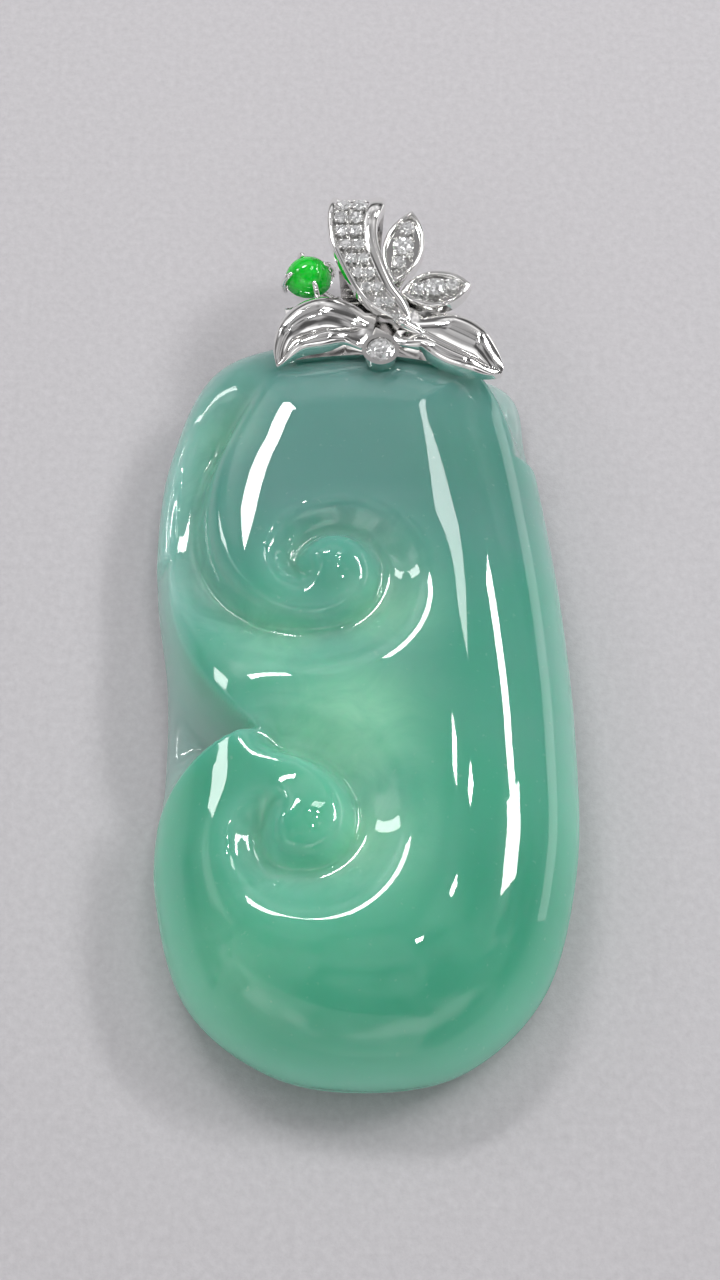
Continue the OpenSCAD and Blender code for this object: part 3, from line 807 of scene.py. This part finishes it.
def brilliant(radius, height):
    """Points and faces of a round cut stone with its culet at the origin and table up."""
    points, starts = [], []
    for share, level, count, offset in BRILLIANT_LAYERS:
        starts.append(len(points))
        for k in range(count):
            a = 2 * math.pi * (k + offset) / count
            points.append((radius * share * math.cos(a), radius * share * math.sin(a), height * level))
    faces = []
    culet, pavilion, low_girdle, girdle, top_girdle, star, table = starts
    for k in range(8):
        n = (k + 1) % 8
        before = (k - 1) % 8
        faces.append((culet, pavilion + k, pavilion + before))
        faces.append((pavilion + k, low_girdle + (2 * k + 1) % 16, low_girdle + 2 * k))
        faces.append((pavilion + k, low_girdle + (2 * k + 2) % 16, low_girdle + (2 * k + 1) % 16))
        faces.append((pavilion + k, low_girdle + (2 * k + 2) % 16, pavilion + n))
        faces.append((star + k, top_girdle + 2 * k, top_girdle + (2 * k + 1) % 16))
        faces.append((star + k, top_girdle + (2 * k + 1) % 16, top_girdle + (2 * k + 2) % 16))
        faces.append((star + k, top_girdle + (2 * k + 2) % 16, star + n))
        faces.append((table + k, star + k, table + n))
        faces.append((table + n, star + k, star + n))
    for k in range(16):
        n = (k + 1) % 16
        faces.append((low_girdle + k, low_girdle + n, girdle + n, girdle + k))
        faces.append((girdle + k, girdle + n, top_girdle + n, top_girdle + k))
    faces.append(tuple(table + k for k in range(8)))
    return points, faces


def turned(axis, spin=0.0):
    """Rotation that takes Z to the axis, after a spin about Z."""
    return axis.to_track_quat("Z", "Y").to_matrix() @ Matrix.Rotation(spin, 3, "Z")


def merged(parts):
    """One point list and face list from several."""
    points, faces = [], []
    for part_points, part_faces in parts:
        start = len(points)
        points += part_points
        faces += [tuple(i + start for i in face) for face in part_faces]
    return points, faces


# Each stone is a little smaller than its solid and is spun on from the one before. The band turns over where a
# stone's axis leans back by the first share, and has fully done so after the second.
STONE_SHARE = 0.99
STONE_SPIN = 0.61
BEND_FROM, BEND_OVER = 0.1, 0.5


def set_stones(name, node, sink=0.0, bend_sink=0.0):
    """Cut stones in their seats, let down by sink, and by bend_sink more where the band turns over."""
    parts = []
    for k, (foot, axis, radius, height) in enumerate(stone_seats(node)):
        foot = foot - axis * (sink + bend_sink * float(ease((axis.y - BEND_FROM) / BEND_OVER)))
        points, faces = brilliant(radius * STONE_SHARE, height)
        turn = turned(axis, k * STONE_SPIN)
        parts.append(([tuple(foot + turn @ Vector(p)) for p in points], faces))
    mesh_piece(name, *merged(parts), diamond, False, node, "clear_stones")


def ball(centre, radius, rings=8, segments=14):
    """Points and faces of a sphere."""
    points = [tuple(centre + Vector((0, 0, -radius)))]
    for i in range(1, rings):
        a = math.pi * i / rings
        for k in range(segments):
            b = 2 * math.pi * k / segments
            away = Vector((math.sin(a) * math.cos(b), math.sin(a) * math.sin(b), -math.cos(a)))
            points.append(tuple(centre + radius * away))
    points.append(tuple(centre + Vector((0, 0, radius))))
    faces = [(0, 1 + (k + 1) % segments, 1 + k) for k in range(segments)]
    for i in range(rings - 2):
        a, b = 1 + i * segments, 1 + (i + 1) * segments
        faces += [(a + k, a + (k + 1) % segments, b + (k + 1) % segments, b + k) for k in range(segments)]
    top, a = len(points) - 1, 1 + (rings - 2) * segments
    faces += [(top, a + k, a + (k + 1) % segments) for k in range(segments)]
    return points, faces


GRAINS_PER_STONE = 4


def grain_beads(name, node, radius, height_share):
    """Small metal grains on the edges of set stones, at a share of their height."""
    parts = []
    for foot, axis, stone_radius, height in stone_seats(node):
        turn = turned(axis)
        for k in range(GRAINS_PER_STONE):
            a = 2 * math.pi * (k + 0.5) / GRAINS_PER_STONE
            place = Vector((stone_radius * math.cos(a), stone_radius * math.sin(a), height * height_share))
            parts.append(ball(foot + turn @ place, radius))
    mesh_piece(name, *merged(parts), gold, True, None, "white_gold")


set_stones("band_diamonds", "bail_stones", sink=0.08, bend_sink=0.16)
set_stones("collar_diamond", "collar_stone")
set_stones("upper_bud_diamonds", "upper_bud_stones")
set_stones("side_bud_diamonds", "side_bud_stones")
grain_beads("band_grains", "bail_stones", radius=0.1, height_share=0.55)
grain_beads("upper_bud_grains", "upper_bud_stones", radius=0.13, height_share=0.66)
grain_beads("side_bud_grains", "side_bud_stones", radius=0.12, height_share=0.66)

# Buds: pointed frames with a thick rounded rim and a sunk floor. Each bud: base, angle, length, width.
frame_h = 1.0
frame_rim = 0.34
upper_bud = ((2.35, top_y + 1.2), 78, 6.4, 2.9)
side_bud = ((2.75, top_y + 0.35), 9, 5.0, 3.0)
OVAL_STEPS = 40
RIM_ROUND_H = 0.22
RIM_ROUND_STEPS = 10
POINT_SHARE = 1.6
FLOOR_SHARE = 0.42
BUD_EDGE_ANGLE = 40


def pointed_oval(length, width):
    """Outline from one point to the other and back, drawn along +X."""
    big = (length * length + width * width) / (4 * width)
    reach = math.asin(length / 2 / big)
    arc = [-reach + 2 * reach * k / OVAL_STEPS for k in range(OVAL_STEPS)]
    lower = [(length / 2 + big * math.sin(a), big - width / 2 - big * math.cos(a)) for a in arc]
    upper = [(length - x, -y) for x, y in lower]
    return lower + upper


def bud(name, place, node):
    """A bud's frame: rings of the outline, set in and raised along the rim's profile."""
    base, angle, length, width = place
    round_z, floor_z = frame_h - RIM_ROUND_H, frame_h - channel_depth
    rim_profile = [(0.0, 0.0), (0.0, round_z)]
    rim_profile += [(frame_rim / 2 * (1 - math.cos(a)), round_z + RIM_ROUND_H * math.sin(a))
                    for a in (math.pi * k / RIM_ROUND_STEPS for k in range(1, RIM_ROUND_STEPS))]
    rim_profile += [(frame_rim, round_z), (frame_rim, floor_z), (width * FLOOR_SHARE, floor_z)]
    rings = []
    for inset, z in rim_profile:
        end = inset * POINT_SHARE
        rings.append([(x + end, y, z) for x, y in pointed_oval(length - 2 * end, width - 2 * inset)])
    turn = Matrix.Rotation(math.radians(angle), 3, "Z")
    rings = [[tuple(turn @ Vector(p) + Vector((*base, cap_top_z))) for p in ring] for ring in rings]
    shade_smooth(loft(name, rings, node), BUD_EDGE_ANGLE)


bud("bud_upper", upper_bud, "upper_bud_frame")
bud("bud_side", side_bud, "side_bud_frame")

# Claws of the green berry: tapered wires that rise beside the cup and bend over the cabochon's edge. Each row is the
# distance from the berry's axis, the height over the cup's rim and the wire's radius.
berry_at = (-3.6, top_y + 2.75)
berry_z = 7.5
CLAW_ROWS = [(1.72, -0.55, 0.2), (1.82, 0.0, 0.2), (1.8, 0.4, 0.19), (1.62, 0.78, 0.18), (1.4, 1.0, 0.19),
             (1.26, 1.1, 0.14)]
CLAW_TURNS = range(20, 360, 90)
CLAW_TIP_R = 0.17
BAR_SIDES = 12
BAR_STEPS = 5


def bar(path, radii):
    """Points and faces of a round bar through a path of points, with a radius at each."""
    rows = with_ends([np.array((*p, r)) for p, r in zip(path, radii)])
    curve = [catmull(rows, i / BAR_STEPS) for i in range((len(path) - 1) * BAR_STEPS + 1)]
    middle, radii = [Vector(q[:3]) for q in curve], [float(q[3]) for q in curve]
    rings = []
    for k, p in enumerate(middle):
        a, b = middle[max(k - 1, 0)], middle[min(k + 1, len(middle) - 1)]
        turn = turned((b - a).normalized())
        rings.append([tuple(p + turn @ Vector((radii[k] * math.cos(t), radii[k] * math.sin(t), 0)))
                      for t in (2 * math.pi * j / BAR_SIDES for j in range(BAR_SIDES))])
    points = [p for ring in rings for p in ring]
    return points, ring_faces(len(rings), BAR_SIDES) + flat_caps(BAR_SIDES, len(points) - BAR_SIDES)


def claws():
    """Four bent claws with a ball at each tip."""
    centre = Vector((*berry_at, berry_z))
    parts = []
    for degrees in CLAW_TURNS:
        a = math.radians(degrees)
        out = Vector((math.cos(a), math.sin(a), 0))
        path = [centre + out * r + Vector((0, 0, z)) for r, z, _ in CLAW_ROWS]
        parts.append(bar(path, [r for _, _, r in CLAW_ROWS]))
        parts.append(ball(path[-1], CLAW_TIP_R))
    mesh_piece("berry_claws", *merged(parts), gold, True, "cabochon_prongs", "white_gold")


claws()

# Stem: it starts at this row of the band, passes through the knot and follows the right leaf's rib over these shares.
STEM_ROW = set_from
STEM_IN, STEM_UNDER = 0.42, 0.2
KNOT_AT = (2.75, top_y - 2.35, 9.52)
KNOT_OFFSET = (0.12, -0.1, 0.12)
KNOT_R = 0.4
STEM_RIB_STEPS = 12
STEM_RIB_FROM, STEM_RIB_OVER = 0.12, 0.7
STEM_START_R, STEM_KNOT_R = 0.3, 0.34
STEM_RIB_R, STEM_END_R = 0.3, 0.07
STEM_LIFT = 0.06


def stem():
    """The polished stem that runs from the band's lower tip into the right leaf's midrib, with a knot on it."""
    start = band_at(STEM_ROW)
    path = [Vector((start[3] - STEM_IN, top_y + start[0], start[1] - STEM_UNDER)), Vector(KNOT_AT)]
    radii = [STEM_START_R, STEM_KNOT_R]
    for k in range(1, STEM_RIB_STEPS):
        s = STEM_RIB_FROM + STEM_RIB_OVER * k / STEM_RIB_STEPS
        rib_z = cap_top_z + leaf_t + leaf_rise * MIDRIB_SHARE - tip_drop * s ** 4
        path.append(Vector((*quadratic(right_rib, s), rib_z + STEM_LIFT)))
        radii.append(STEM_RIB_R * (1 - s) + STEM_END_R)
    knot = ball(Vector(KNOT_AT) + Vector(KNOT_OFFSET), KNOT_R)
    mesh_piece("band_stem", *merged([bar(path, radii), knot]), gold, True, None, "white_gold")


stem()


# Stage: floor, lamps and camera


FLOOR_HALF = 1500


def lay_floor():
    points = [(x * FLOOR_HALF, y * FLOOR_HALF, 0) for x, y in ((-1, -1), (1, -1), (1, 1), (-1, 1))]
    mesh = bpy.data.meshes.new("floor")
    mesh.from_pydata([tuple(c * MM for c in p) for p in points], [], [(0, 1, 2, 3)])
    mesh.materials.append(floor_material())
    floor = bpy.data.objects.new("floor", mesh)
    floor.location.z = stone_low[2] * MM
    bpy.context.collection.objects.link(floor)


def direction(azimuth, elevation):
    """Unit vector: azimuth 0 is +Y and 90 is +X, elevation above the horizon, in degrees."""
    a, e = math.radians(azimuth), math.radians(elevation)
    return Vector((math.sin(a) * math.cos(e), math.cos(a) * math.cos(e), math.sin(e)))


# Lamps: azimuth and elevation in degrees, distance, width and height in millimetres, power in watts. The narrow ones
# stand where the stone's dome mirrors them as the photo's highlights. The card, the fill and the soft one only
# brighten it.
LAMPS = {
    "left_panel": (-25, 50, 600, 215, 52, 0.85),
    "left_low_panel": (-57, 33, 600, 60, 110, 0.19),
    "right_panel": (55, 41, 600, 170, 40, 0.6),
    "right_end_panel": (69, 41, 600, 120, 90, 0.6),
    "right_low_card": (64, 6, 600, 500, 120, 0.25),
    "front_fill": (205, 32, 900, 1500, 700, 1.3),
    "soft_panel": (25, 53, 600, 95, 70, 0.15),
    "spot_0": (21, 64, 700, 25, 25, 0.095),
    "spot_1": (38, 61, 700, 25, 25, 0.095),
    "spot_2": (47, 67, 700, 25, 25, 0.095),
    "spot_3": (73, 78, 700, 25, 25, 0.095),
}


def panel(name, azimuth, elevation, distance, width, height, power):
    """A rectangular lamp that faces the origin."""
    lamp = bpy.data.lights.new(name, "AREA")
    lamp.shape = "RECTANGLE"
    lamp.size = width * MM
    lamp.size_y = height * MM
    lamp.energy = power
    holder = bpy.data.objects.new(name, lamp)
    away = direction(azimuth, elevation)
    holder.location = away * distance * MM
    holder.rotation_euler = away.to_track_quat("Z", "Y").to_euler()
    bpy.context.collection.objects.link(holder)


# The room's light by height, 0 at the horizon and 1 overhead: place and level. The level at the horizon, times the
# strength, is the backdrop's, so that floor and room meet without a seam.
ROOM_STOPS = [(0.0, 0.543), (0.12, 0.543), (0.19, 0.26), (0.30, 0.12), (0.46, 0.30), (0.56, 0.85), (0.64, 0.85),
              (0.74, 0.34), (0.86, 0.24), (1.0, 0.42)]
ROOM_STRENGTH = 0.92
ROOM_GREEN = 0.985

# Heights over which the room's uneven patches set in.
PATCHES_FROM, PATCHES_FULL = 0.12, 0.24


def shade_world():
    """A dim room with an uneven bright band of windows between its walls and ceiling."""
    world = bpy.data.worlds.new("room")
    bpy.context.scene.world = world
    g = Graph(world, "ShaderNodeOutputWorld")
    height = g.node("ShaderNodeSeparateXYZ", {0: g.where("Generated")}, output=2)
    ramp = g.add("ShaderNodeValToRGB")
    g.put(ramp.inputs[0], height)
    bands = ramp.color_ramp
    while len(bands.elements) < len(ROOM_STOPS):
        bands.elements.new(1.0)
    for element, (place, level) in zip(bands.elements, ROOM_STOPS):
        element.position = place
        element.color = (level, level * ROOM_GREEN, level, 1)
    patches = g.remap(g.noise(3.2, detail=1.0, space="Generated"), 0.42, 0.58, 0.35, 1.65)
    evened = g.add("ShaderNodeMix")
    g.put(evened.inputs[0], g.remap(height, PATCHES_FROM, PATCHES_FULL))
    g.put(evened.inputs[2], 1.0)
    g.put(evened.inputs[3], patches)
    lit = g.node("ShaderNodeVectorMath", {0: ramp.outputs[0], "Scale": evened.outputs[0]}, operation="SCALE")
    g.finish(g.node("ShaderNodeBackground", {"Color": lit, "Strength": ROOM_STRENGTH}))


# Camera: the photo's elevation, distance and focal length.
PHOTO_HEIGHT_PX = 1280
FOCAL_PX = 2280
CAMERA_ELEVATION = 62
CAMERA_DISTANCE = 150
CAMERA_TARGET = (0, 3, 4)
SENSOR = 36


def set_camera():
    camera = bpy.data.cameras.new("camera")
    holder = bpy.data.objects.new("camera", camera)
    bpy.context.collection.objects.link(holder)
    back = direction(180, CAMERA_ELEVATION)
    holder.location = (Vector(CAMERA_TARGET) + back * CAMERA_DISTANCE) * MM
    holder.rotation_euler = back.to_track_quat("Z", "Y").to_euler()
    camera.sensor_width = SENSOR
    camera.lens = FOCAL_PX / PHOTO_HEIGHT_PX * SENSOR
    camera.clip_start = 5 * MM
    bpy.context.scene.camera = holder


lay_floor()
for name, values in LAMPS.items():
    panel(name, *values)
shade_world()
set_camera()
bpy.context.scene.view_settings.view_transform = "Standard"
